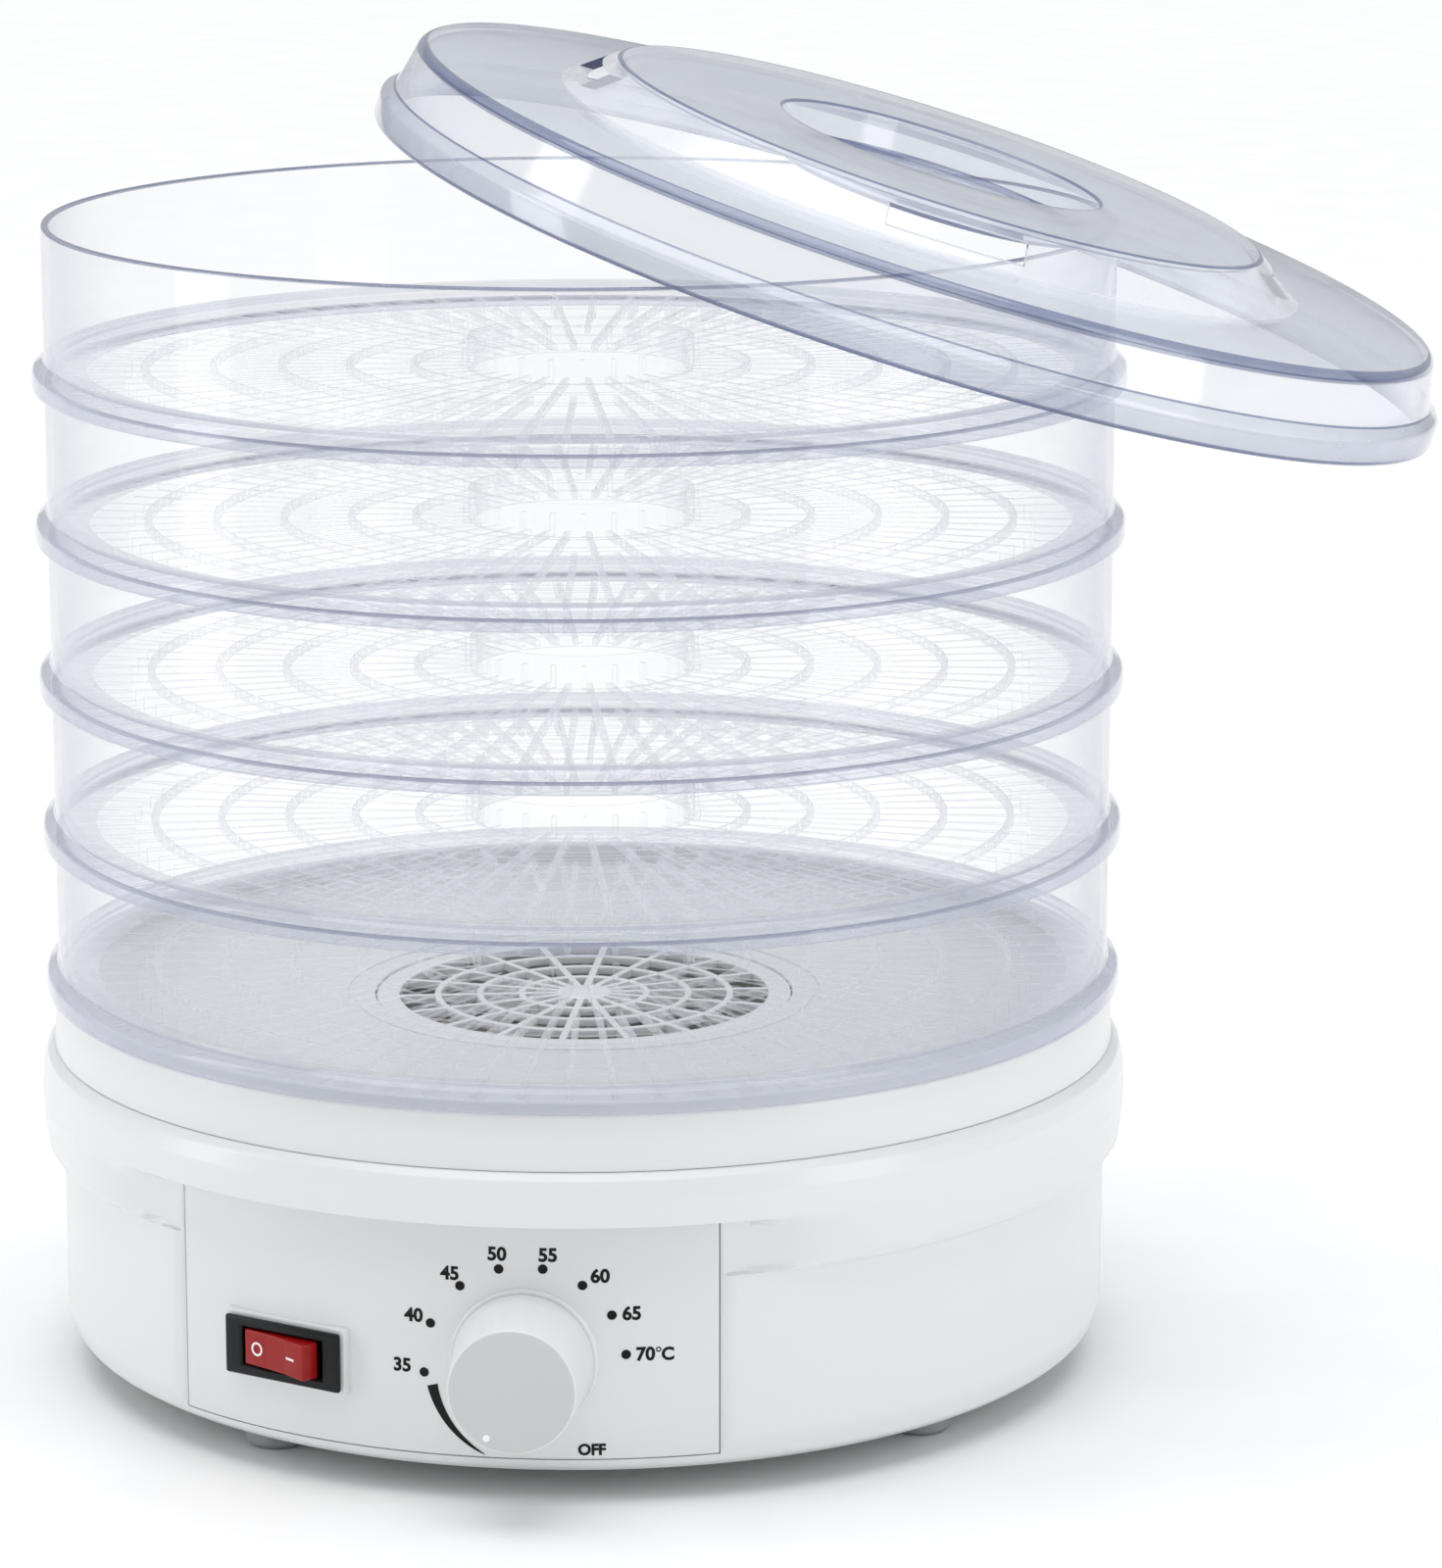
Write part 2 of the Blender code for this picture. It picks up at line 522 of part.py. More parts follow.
def make_fittings():
    """Outlet grille, gland, terminal block, feet and the cover's screws."""
    grille = cylinder(
        "outlet_grille", OUTLET_RADIUS - GAP, DECK_TOP - 3.1 * MM, DECK_TOP - 0.6 * MM, WHITE_PLASTIC, segments=SEGMENTS
    )
    slots = radial_slots("grille_slots", 12, 14 * MM, 54 * MM, 7 * MM, 90 * MM, 110 * MM)
    combine(grille, slots)
    outside = facing_out(180, BODY_RADIUS, GLAND_Z)
    turned("cord_gland", [
        (3.6, 5.0), (6.5, 5.0), (9.0, 3.2), (9.0, 0.3), (6.6, 0.3), (6.6, -9.0), (3.6, -9.0),
    ], BLACK_PLASTIC, outside, 16)
    turned("gland_nut", [(6.9, -3.7), (10.0, -3.7), (10.0, -7.5), (6.9, -7.5)], BLACK_PLASTIC, outside, 16)
    box(
        "terminal_block", (-17 * MM, -8 * MM, 0), (17 * MM, 8 * MM, 12 * MM), BLACK_PLASTIC,
        standing(150, 104 * MM, COVER_TOP + GAP),
    )
    for index, azimuth in enumerate(FOOT_AZIMUTHS):
        turned(f"foot_{index + 1}", [
            (0.0, FOOT_HEIGHT / MM + GAP / MM), (9.5, FOOT_HEIGHT / MM + GAP / MM), (8.5, 1.0), (7.5, 0.0), (0.0, 0.0),
        ], GREY_RUBBER, standing(azimuth, FOOT_RING, 0), 16, closed=False)
    for index, azimuth in enumerate(SCREW_AZIMUTHS):
        turned(f"cover_screw_{index + 1}", [
            (0.0, 13.0), (1.5, 13.0), (1.5, 8.0), (3.2, 8.0), (2.6, 6.6), (0.0, 6.6),
        ], STEEL, standing(azimuth, SCREW_RING, 0), 12, closed=False)


make_base_shells()
make_controls()
make_fan()
make_heater()
make_fittings()
make_trays()
make_lid()
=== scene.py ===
"""Food dehydrator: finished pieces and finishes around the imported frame.

Metres, +Z up, with the control panel facing -Y. Outlines are (radius, height, rounding) in
millimetres. Heights are given from the surface that the feet stand on, which lies FEET below the
frame's origin. An azimuth is an angle in degrees from -Y towards +X.
"""

from math import atan2, cos, degrees, hypot, pi, radians, sin, sqrt, tan

import bpy
from mathutils import Matrix, Vector


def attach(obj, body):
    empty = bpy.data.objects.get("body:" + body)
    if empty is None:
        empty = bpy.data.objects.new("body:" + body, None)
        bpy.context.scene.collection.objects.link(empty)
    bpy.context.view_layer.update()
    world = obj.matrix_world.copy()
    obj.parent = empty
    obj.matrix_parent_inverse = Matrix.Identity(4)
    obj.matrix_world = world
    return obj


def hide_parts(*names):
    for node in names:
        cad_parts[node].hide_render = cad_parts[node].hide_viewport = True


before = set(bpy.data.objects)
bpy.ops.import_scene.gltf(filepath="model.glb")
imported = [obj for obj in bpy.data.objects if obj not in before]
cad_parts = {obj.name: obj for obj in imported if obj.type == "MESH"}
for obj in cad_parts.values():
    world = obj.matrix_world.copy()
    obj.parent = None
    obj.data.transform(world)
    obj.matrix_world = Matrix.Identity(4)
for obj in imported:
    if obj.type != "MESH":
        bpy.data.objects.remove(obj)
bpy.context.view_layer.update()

MM = 0.001
FEET = 8.3 * MM
STAND = Matrix.Translation((0.0, 0.0, -FEET))
UNSTAND = Matrix.Translation((0, 0, FEET))

# Trays and lid, in mm and degrees
TRAY_COUNT = 5
TRAY_PITCH = 43.0
FIRST_FLANGE = 114.0
TRAY_RIM = 41.2
TRAY_RIM_MIDDLE = 148.9
LID_LIP_MIDDLE = 151.7
LID_LIP_DROP = 6.8
LID_CLEARANCE = 0.9
LID_SHIFT = 91.0
LID_TILT = 17.3
LID_HEADING = 8.0
VENT_COUNT, VENT_AZIMUTH = 4, 99.0

# Base and controls, in mm and degrees
BODY_RADIUS = 149.6
GLAND_AZIMUTH, GLAND_Z = 180.0, 30.0
FOOT_AZIMUTHS, FOOT_RING = (64.0, -26.0, 154.0, -116.0), 126.0
SCREW_AZIMUTHS, SCREW_RING = (19.0, 109.0, -161.0, -71.0), 132.8
INTAKE_SLOTS = 16
PANEL_RADIUS = 148.3
PANEL_ANGLE = 61.2
WINDOW_HALF_ANGLE = 30.69
WINDOW_LOW, WINDOW_HIGH = 12.8, 79.15
SHOULDER_LOW, SHOULDER_HIGH = 62.6, 79.3
KNOB_AZIMUTH, KNOB_Z = 10.3, 40.5
KNOB_FACE_HEIGHT = 26.9
DIAL_DROP = 1.4
DOT_RING, DOT_RADIUS = 27.4, 1.3
FIGURE_SIZE, OFF_SIZE = 5.1, 4.2
SWITCH_AZIMUTH, SWITCH_Z = -16.2, 36.2
ROCKER_REST = -12.0

# Camera and lights, in metres, degrees and mm of focal length
CAMERA_AZIMUTH, CAMERA_REACH, CAMERA_HEIGHT = 16.7, 1.625, 0.5187
CAMERA_PITCH, CAMERA_SWING, CAMERA_LENS = 12.58, 1.39, 133.74
LAMP_REACH, LAMP_AIM = 2.0, 0.17
SKY_STRENGTH = 0.47
SUN_STRENGTH, SUN_SPREAD = 2.0, 60.0


# Places -----------------------------------------------------------------------------------------

def facing_out(azimuth, radius, height):
    """Axes on a round wall: X to the right as seen from outside, Y up, Z outwards."""
    x, y = sin(radians(azimuth)), -cos(radians(azimuth))
    turn = Matrix(((-y, 0.0, x), (x, 0.0, y), (0.0, 1.0, 0.0))).to_4x4()
    return STAND @ Matrix.Translation((x * radius * MM, y * radius * MM, height * MM)) @ turn


def standing(azimuth, radius, height=0.0):
    """Axes on a level surface, turned to an azimuth."""
    x, y = sin(radians(azimuth)), -cos(radians(azimuth))
    place = Matrix.Translation((x * radius * MM, y * radius * MM, height * MM))
    return STAND @ place @ Matrix.Rotation(radians(azimuth), 4, "Z")


def lid_place():
    """Where the lid lies: its lip on the top tray's rim, its plateau over the rim's other side."""
    tilt, heading = radians(LID_TILT), radians(LID_HEADING)
    rim_z = FIRST_FLANGE + (TRAY_COUNT - 1) * TRAY_PITCH + TRAY_RIM
    # The plan of the tilted lip is an ellipse, which crosses the rim at this distance.
    a = 1 / cos(tilt) ** 2 - 1
    b = -2 * LID_SHIFT / cos(tilt) ** 2
    c = LID_SHIFT ** 2 / cos(tilt) ** 2 + TRAY_RIM_MIDDLE ** 2 - LID_LIP_MIDDLE ** 2
    crossing = (-b - sqrt(b * b - 4 * a * c)) / (2 * a)
    lip_z = rim_z + LID_CLEARANCE - (LID_SHIFT - crossing) * tan(tilt)
    turn = Matrix.Rotation(heading, 4, "Z") @ Matrix.Rotation(tilt, 4, "Y")
    along = Vector((cos(heading), sin(heading), 0.0))
    corner = along * LID_SHIFT * MM + Vector((0, 0, lip_z * MM))
    return STAND @ Matrix.Translation(corner + turn @ Vector((0, 0, LID_LIP_DROP * MM))) @ turn


# Modelling --------------------------------------------------------------------------------------

def start():
    """Object mode with nothing selected."""
    if bpy.context.object and bpy.context.object.mode != "OBJECT":
        bpy.ops.object.mode_set(mode="OBJECT")
    bpy.ops.object.select_all(action="DESELECT")


def only(piece):
    """Makes a piece the one that the next tool acts on."""
    start()
    piece.select_set(True)
    bpy.context.view_layer.objects.active = piece


def edit():
    """Edit mode with every vertex selected."""
    bpy.ops.object.mode_set(mode="EDIT")
    bpy.ops.mesh.select_mode(type="VERT")
    bpy.ops.mesh.select_all(action="SELECT")


def leave():
    bpy.ops.object.mode_set(mode="OBJECT")
    return bpy.context.object


def rounded(outline, bends=4, closed=True):
    """The points of an outline with each corner rounded by its own radius."""
    points = []
    count = len(outline)
    for index, (x, z, radius) in enumerate(outline):
        here = Vector((x, z))
        ends = not closed and index in (0, count - 1)
        if radius <= 0 or ends:
            points.append(here)
            continue
        back = Vector(outline[index - 1][:2]) - here
        ahead = Vector(outline[(index + 1) % count][:2]) - here
        half = back.angle(ahead) / 2
        reach = min(radius / tan(half), 0.48 * back.length, 0.48 * ahead.length)
        radius = reach * tan(half)
        middle = here + (back.normalized() + ahead.normalized()).normalized() * radius / sin(half)
        first = here + back.normalized() * reach - middle
        last = here + ahead.normalized() * reach - middle
        swing = atan2(first.x * last.y - first.y * last.x, first.dot(last))
        for step in range(bends + 1):
            a = swing * step / bends
            x = first.x * cos(a) - first.y * sin(a)
            z = first.x * sin(a) + first.y * cos(a)
            points.append(middle + Vector((x, z)))
    return points


def draw(points):
    """Starts a piece as one vertex and extrudes it from point to point. Points are (x, y, z) in mm."""
    start()
    bpy.ops.mesh.primitive_plane_add(size=1.0)
    edit()
    bpy.ops.mesh.merge(type="CENTER")
    bpy.ops.transform.translate(value=Vector(points[0]) * MM)
    for here, there in zip(points, points[1:]):
        step = (Vector(there) - Vector(here)) * MM
        bpy.ops.mesh.extrude_region_move(TRANSFORM_OT_translate={"value": step})


def turned(name, outline, steps=180, closed=True, bends=4, angle=360.0):
    """A turned piece: its outline is drawn in the XZ plane and spun about Z."""
    points = [(p.x, 0.0, p.y) for p in rounded(outline, bends, closed)]
    if closed:
        points.append(points[0])
    draw(points)
    bpy.ops.mesh.select_all(action="SELECT")
    bpy.ops.mesh.spin(steps=steps, angle=radians(angle), center=(0, 0, 0), axis=(0, 0, 1))
    bpy.ops.mesh.select_all(action="SELECT")
    bpy.ops.mesh.remove_doubles(threshold=0.000004)
    if angle < 360.0:
        bpy.ops.mesh.select_all(action="DESELECT")
        bpy.ops.mesh.select_non_manifold(extend=False, use_wire=False, use_multi_face=False)
        bpy.ops.mesh.edge_face_add()
        bpy.ops.mesh.select_all(action="SELECT")
    bpy.ops.mesh.normals_make_consistent(inside=False)
    piece = leave()
    piece.name = name
    return piece


def block(name, low, high, rounding=0.0):
    """A block between two corners in mm, its edges rounded."""
    start()
    bpy.ops.mesh.primitive_cube_add(size=1.0)
    edit()
    size = [(b - a) * MM for a, b in zip(low, high)]
    centre = [(a + b) / 2 * MM for a, b in zip(low, high)]
    bpy.ops.transform.resize(value=size)
    bpy.ops.transform.translate(value=centre)
    if rounding:
        bpy.ops.mesh.bevel(offset=rounding * MM, segments=3, affect="EDGES")
    piece = leave()
    piece.name = name
    return piece


def flat(name, points, bottom, top, rounding=0.0):
    """An outline in plan, filled and drawn up between two heights, its sharp edges rounded."""
    draw([(x, y, bottom) for x, y in points])
    bpy.ops.mesh.select_all(action="SELECT")
    bpy.ops.mesh.edge_face_add()
    bpy.ops.mesh.extrude_region_move(TRANSFORM_OT_translate={"value": (0, 0, (top - bottom) * MM)})
    bpy.ops.mesh.select_all(action="SELECT")
    bpy.ops.mesh.normals_make_consistent(inside=False)
    piece = leave()
    piece.name = name
    if rounding:
        round_edges(piece, rounding, 60.0)
    return piece


def ring_copies(piece, count, first=0.0):
    """Copies a piece's shape evenly about the Z axis, inside its own mesh."""
    put(piece, Matrix.Rotation(radians(first), 4, "Z"))
    edit()
    sweep = radians(360.0 * (count - 1) / count)
    bpy.ops.mesh.spin(steps=count - 1, dupli=True, angle=sweep, center=(0, 0, 0), axis=(0, 0, 1))
    return leave()


def apply(piece, modifier):
    only(piece)
    bpy.ops.object.modifier_apply(modifier=modifier.name)
    return piece


def round_edges(piece, width, angle):
    """Rounds the edges that turn by more than an angle."""
    bevel = piece.modifiers.new("rounding", "BEVEL")
    bevel.width = width * MM
    bevel.segments = 3
    bevel.limit_method = "ANGLE"
    bevel.angle_limit = radians(angle)
    return apply(piece, bevel)


def combine(piece, other, operation="DIFFERENCE", solver="EXACT"):
    """Cuts a piece with another, or joins them into one closed shape. The other one is used up."""
    change = piece.modifiers.new("combine", "BOOLEAN")
    change.operation = operation
    change.solver = solver
    change.object = other
    if solver == "EXACT":
        change.material_mode = "TRANSFER"
    apply(piece, change)
    bpy.data.objects.remove(other, do_unlink=True)
    return piece


def duplicate(piece):
    """A second piece with a mesh of its own."""
    copy = piece.copy()
    copy.data = piece.data.copy()
    bpy.context.collection.objects.link(copy)
    return copy


def joined(name, pieces):
    """Several shapes as one piece."""
    start()
    for piece in pieces:
        piece.select_set(True)
    bpy.context.view_layer.objects.active = pieces[0]
    bpy.ops.object.join()
    pieces[0].name = name
    return pieces[0]


def put(piece, place):
    """Sets a shape in its place and leaves the object itself at the origin."""
    only(piece)
    piece.matrix_world = place
    bpy.context.view_layer.update()
    bpy.ops.object.transform_apply(location=True, rotation=True, scale=True)
    return piece


def paint(piece, *finishes):
    piece.data.materials.clear()
    for finish in finishes:
        piece.data.materials.append(finish)
    return piece


def hand_over(piece, body, nodes, angle=32.0):
    """Smooths a finished piece and says what it rides on and stands for."""
    only(piece)
    bpy.ops.object.shade_smooth_by_angle(angle=radians(angle))
    piece.data.name = piece.name
    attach(piece, body)
    if nodes:
        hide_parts(*nodes)
    return piece


# Finishes ---------------------------------------------------------------------------------------

def finish(name):
    """A node material that holds nothing but its output."""
    material = bpy.data.materials.new(name)
    material.use_nodes = True
    tree = material.node_tree
    tree.nodes.clear()
    output = tree.nodes.new("ShaderNodeOutputMaterial")
    return material, tree, output


def node(tree, kind, inputs=None, **settings):
    made = tree.nodes.new(kind)
    for key, value in settings.items():
        setattr(made, key, value)
    for key, value in (inputs or {}).items():
        if isinstance(value, bpy.types.NodeSocket):
            tree.links.new(value, made.inputs[key])
        else:
            made.inputs[key].default_value = value
    return made


def noise(tree, scale, detail):
    where = node(tree, "ShaderNodeTexCoord").outputs["Object"]
    made = node(tree, "ShaderNodeTexNoise", {"Vector": where, "Scale": scale, "Detail": detail})
    return made.outputs["Fac"]


def between(tree, value, low, high):
    """Spreads a noise value over a range."""
    made = node(tree, "ShaderNodeMapRange", {
        "Value": value, "From Min": 0.3, "From Max": 0.7, "To Min": low, "To Max": high,
    })
    return made.outputs["Result"]


def shades(tree, value, first, second):
    """A colour that drifts between two with a noise value."""
    made = node(tree, "ShaderNodeValToRGB", {"Fac": value})
    made.color_ramp.elements[0].position = 0.35
    made.color_ramp.elements[0].color = (*first, 1.0)
    made.color_ramp.elements[1].position = 0.65
    made.color_ramp.elements[1].color = (*second, 1.0)
    return made.outputs["Color"]


def moulded(name, first, second, rough_low, rough_high, grain=900.0, bump=0.05, drift=22.0, **fixed):
    """Moulded plastic or rubber: slow colour drift, uneven gloss and a fine surface grain."""
    material, tree, output = finish(name)
    height = node(tree, "ShaderNodeBump", {
        "Strength": bump, "Distance": 0.0002, "Height": noise(tree, grain, 3.0),
    })
    surface = node(tree, "ShaderNodeBsdfPrincipled", {
        "Base Color": shades(tree, noise(tree, drift, 3.0), first, second),
        "Roughness": between(tree, noise(tree, 140.0, 2.0), rough_low, rough_high),
        "Normal": height.outputs["Normal"],
    })
    for key, value in fixed.items():
        surface.inputs[key.replace("_", " ")].default_value = value
    tree.links.new(surface.outputs["BSDF"], output.inputs["Surface"])
    return material


def metal(name, first, second, rough_low, rough_high, stretch=(40.0, 40.0, 900.0)):
    """Sheet or turned metal with drawn marks along it."""
    material, tree, output = finish(name)
    where = node(tree, "ShaderNodeTexCoord").outputs["Object"]
    along = node(tree, "ShaderNodeMapping", {"Vector": where, "Scale": stretch})
    marks = node(tree, "ShaderNodeTexNoise", {"Vector": along.outputs["Vector"], "Scale": 1.0, "Detail": 4.0})
    height = node(tree, "ShaderNodeBump", {
        "Strength": 0.12, "Distance": 0.0001, "Height": marks.outputs["Fac"],
    })
    surface = node(tree, "ShaderNodeBsdfPrincipled", {
        "Base Color": shades(tree, marks.outputs["Fac"], first, second),
        "Metallic": 1.0,
        "Roughness": between(tree, marks.outputs["Fac"], rough_low, rough_high),
        "Normal": height.outputs["Normal"],
    })
    tree.links.new(surface.outputs["BSDF"], output.inputs["Surface"])
    return material


def clear_plastic(name, tint, haze, low, high, power=3.0, rough=0.08, gloss=1.0):
    """Clear moulded plastic: tinted, hazier where it is seen edge on, with a glossy skin."""
    material, tree, output = finish(name)
    flow = noise(tree, 55.0, 1.0)
    facing = node(tree, "ShaderNodeLayerWeight", {"Blend": 0.5}).outputs["Facing"]
    steep = node(tree, "ShaderNodeMath", {0: facing, 1: power}, operation="POWER")
    span = node(tree, "ShaderNodeMapRange", {
        "Value": steep.outputs["Value"], "From Min": 0.0, "From Max": 1.0, "To Min": low, "To Max": high,
    })
    ripple = between(tree, flow, 0.9, 1.1)
    amount = node(
        tree, "ShaderNodeMath", {0: span.outputs["Result"], 1: ripple}, operation="MULTIPLY", use_clamp=True
    )
    height = node(tree, "ShaderNodeBump", {"Strength": 0.06, "Distance": 0.0004, "Height": flow})
    through = node(tree, "ShaderNodeBsdfTransparent", {"Color": (*tint, 1.0)})
    body = node(tree, "ShaderNodeBsdfPrincipled", {
        "Base Color": shades(tree, flow, haze, tuple(min(1.0, c * 1.05) for c in haze)),
        "Roughness": between(tree, flow, rough, rough * 1.8),
        "IOR": 1.49,
    })
    inside = node(tree, "ShaderNodeMixShader", {
        0: amount.outputs["Value"], 1: through.outputs["BSDF"], 2: body.outputs["BSDF"],
    })
    skin = node(tree, "ShaderNodeBsdfGlossy", {
        "Color": (1.0, 1.0, 1.0, 1.0), "Roughness": rough, "Normal": height.outputs["Normal"],
    })
    graze = node(tree, "ShaderNodeMath", {0: facing, 1: 5.0}, operation="POWER")
    shine = node(tree, "ShaderNodeMapRange", {
        "Value": graze.outputs["Value"], "From Min": 0.0, "From Max": 1.0,
        "To Min": 0.035 * gloss, "To Max": 0.6 * gloss,
    })
    surface = node(tree, "ShaderNodeMixShader", {
        0: shine.outputs["Result"], 1: inside.outputs["Shader"], 2: skin.outputs["BSDF"],
    })
    tree.links.new(surface.outputs["Shader"], output.inputs["Surface"])
    return material


HOUSING_WHITE = moulded(
    "housing_white", (0.785, 0.80, 0.80), (0.79, 0.803, 0.803), 0.25, 0.265, grain=150.0, bump=0.02
)
PANEL_WHITE = moulded(
    "panel_white", (0.77, 0.78, 0.78), (0.778, 0.788, 0.788), 0.33, 0.35, grain=160.0, bump=0.02
)
KNOB_WHITE = moulded(
    "knob_white", (0.735, 0.74, 0.74), (0.745, 0.75, 0.75), 0.38, 0.40, grain=170.0, bump=0.02
)
# Painted shade: the knob's flat front is a darker grey than its sides. It stands in for the shade on a face
# that neither side light reaches.
KNOB_FACE_SHADE = moulded(
    "knob_face_painted_shade", (0.60, 0.605, 0.605), (0.612, 0.617, 0.617), 0.40, 0.42, grain=170.0, bump=0.02
)
MARK_WHITE = moulded("mark_white", (0.9, 0.9, 0.9), (0.95, 0.95, 0.95), 0.35, 0.45)
PRINT_BLACK = moulded(
    "print_black", (0.004, 0.004, 0.005), (0.008, 0.008, 0.009), 0.5, 0.6, Specular_IOR_Level=0.2
)
SWITCH_BLACK = moulded(
    "switch_black", (0.005, 0.006, 0.007), (0.010, 0.011, 0.012), 0.3, 0.36, grain=300.0,
    Specular_IOR_Level=0.25,
)
ROCKER_RED = moulded(
    "rocker_red", (0.30, 0.004, 0.005), (0.37, 0.008, 0.009), 0.14, 0.2, grain=300.0, bump=0.02,
    Specular_IOR_Level=0.3,
)
FAN_BLACK = moulded("fan_black", (0.02, 0.021, 0.022), (0.03, 0.031, 0.032), 0.35, 0.5, bump=0.1)
FOOT_RUBBER = moulded("foot_rubber", (0.30, 0.31, 0.32), (0.38, 0.39, 0.40), 0.6, 0.8, grain=1500.0, bump=0.3)
MICA_SHEET = moulded("mica_sheet", (0.42, 0.33, 0.21), (0.58, 0.48, 0.33), 0.35, 0.6, drift=180.0, bump=0.25)
STEEL = metal("bright_steel", (0.56, 0.57, 0.58), (0.68, 0.68, 0.69), 0.22, 0.38)
MOTOR_IRON = metal("motor_iron", (0.38, 0.39, 0.40), (0.50, 0.50, 0.51), 0.35, 0.5, (300.0, 300.0, 300.0))

TRAY_WALL = clear_plastic("tray_wall", (0.994, 0.995, 0.997), (0.68, 0.70, 0.77), 0.005, 0.9, 4.5, gloss=0.55)
TRAY_FLOOR = clear_plastic(
    "tray_floor", (0.995, 0.996, 0.998), (0.86, 0.87, 0.91), 0.01, 0.7, 3.0, rough=0.16, gloss=0.3
)
# Painted shade: the tray's rim top is a dark blue haze. It stands in for the dark line that refraction shows
# along the clear edge.
TRAY_EDGE_SHADE = clear_plastic("tray_edge_painted_shade", (0.74, 0.76, 0.82), (0.16, 0.18, 0.29), 0.45, 0.9, 2.0, gloss=0.7)
# Painted shade: the tray's flange band is a darker, greyer haze than its wall. It stands in for the dark
# lines that refraction shows along the flange.
TRAY_FLANGE_SHADE = clear_plastic(
    "tray_flange_painted_shade", (0.95, 0.955, 0.972), (0.56, 0.58, 0.68), 0.14, 0.85, 2.0, gloss=0.7
)
LID_WALL = clear_plastic("lid_wall", (0.97, 0.975, 0.985), (0.74, 0.77, 0.84), 0.14, 0.85, 3.0)
LID_TOP = clear_plastic("lid_top", (0.968, 0.974, 0.985), (0.70, 0.74, 0.82), 0.08, 0.8, 3.0, rough=0.1)
# Painted shade: the lid's corners are a dark blue haze. It stands in for the dark lines that refraction shows
# along the clear edges.
LID_EDGE_SHADE = clear_plastic("lid_edge_painted_shade", (0.60, 0.64, 0.76), (0.11, 0.14, 0.26), 0.5, 0.9, 2.0)
LID_FROST = clear_plastic("lid_frost", (0.97, 0.975, 0.985), (0.84, 0.86, 0.90), 0.16, 0.8, 2.0, rough=0.2)
# Painted shade: the lid's flange is a darker haze than its wall. It stands in for the dark lines that
# refraction shows along the flange.
LID_FLANGE_SHADE = clear_plastic("lid_flange_painted_shade", (0.90, 0.915, 0.945), (0.50, 0.53, 0.62), 0.26, 0.85, 2.0)
# Painted shade: the end walls of the lid's slots are a near-black blue. It stands in for the shade and dark
# refraction inside the slots.
VENT_END_SHADE = clear_plastic("vent_end_painted_shade", (0.3, 0.33, 0.45), (0.03, 0.04, 0.10), 0.9, 0.98, 2.0)


# Stage ------------------------------------------------------------------------------------------

def make_stage():
    """Pale floor, white surroundings, soft lights and the camera."""
    start()
    bpy.ops.mesh.primitive_plane_add(size=24.0, location=(0, 4.0, -FEET - 0.0002))
    floor = bpy.context.object
    floor.name = "studio_floor"
    paper = moulded("floor_paper", (0.90, 0.90, 0.90), (0.92, 0.92, 0.92), 0.9, 1.0, bump=0.0)
    floor.data.materials.append(paper)

    world = bpy.data.worlds.new("studio")
    world.use_nodes = True
    world.node_tree.nodes["Background"].inputs["Color"].default_value = (0.97, 0.98, 1.0, 1.0)
    world.node_tree.nodes["Background"].inputs["Strength"].default_value = SKY_STRENGTH
    bpy.context.scene.world = world

    def softbox(name, azimuth, height, width, tall, watts):
        x, y = sin(radians(azimuth)) * LAMP_REACH, -cos(radians(azimuth)) * LAMP_REACH
        bpy.ops.object.light_add(type="AREA", location=(x, y, height))
        lamp = bpy.context.object
        lamp.name = name
        lamp.data.shape = "RECTANGLE"
        lamp.data.size, lamp.data.size_y = width, tall
        lamp.data.energy = watts
        toward = Vector((0.0, 0.0, LAMP_AIM)) - Vector((x, y, height))
        lamp.rotation_euler = toward.to_track_quat("-Z", "Y").to_euler()

    softbox("left_light", -66.0, 0.75, 0.55, 1.7, 9.0)
    softbox("right_light", 72.0, 0.8, 0.7, 1.7, 9.0)
    bpy.ops.object.light_add(type="SUN", location=(0, 0, 3.0))
    overhead = bpy.context.object
    overhead.name = "overhead_light"
    overhead.data.energy = SUN_STRENGTH
    overhead.data.angle = radians(SUN_SPREAD)

    bpy.ops.object.camera_add()
    camera = bpy.context.object
    turn = radians(CAMERA_AZIMUTH)
    camera.location = (sin(turn) * CAMERA_REACH, -cos(turn) * CAMERA_REACH, CAMERA_HEIGHT)
    camera.rotation_euler = (radians(90.0 - CAMERA_PITCH), 0.0, radians(CAMERA_AZIMUTH - CAMERA_SWING))
    camera.data.lens = CAMERA_LENS
    camera.data.clip_start = 0.05
    bpy.context.scene.camera = camera
    bpy.context.scene.view_settings.view_transform = "Standard"
    bpy.context.scene.cycles.transparent_max_bounces = 40
    bpy.context.scene.cycles.max_bounces = 6


# Base -------------------------------------------------------------------------------------------

def shoulder_blend(housing):
    """Sinks the band beside the panel to the panel's own depth, fading out to each side."""
    low, high, depth = SHOULDER_LOW, SHOULDER_HIGH, PANEL_RADIUS + 0.3
    for vertex in housing.data.vertices:
        x, y, z = vertex.co.x / MM, vertex.co.y / MM, vertex.co.z / MM
        radius, azimuth = hypot(x, y), abs(degrees(atan2(x, -y)))
        if not (low < z < high and radius > 149.0 and azimuth < 49.0):
            continue
        away = max(0.0, (azimuth - 31.5) / 17.5)
        fade = (1.0 - away * away * (3.0 - 2.0 * away)) ** 1.3
        under_top = min(1.0, (high - z) / (0.25 + 15.0 * away))
        over_ledge = min(1.0, (z - low) / (0.25 + 7.0 * away))
        ease = under_top * under_top * (3 - 2 * under_top) * over_ledge * over_ledge * (3 - 2 * over_ledge)
        wanted = radius + (depth - radius) * fade * ease
        vertex.co.x *= wanted / radius
        vertex.co.y *= wanted / radius


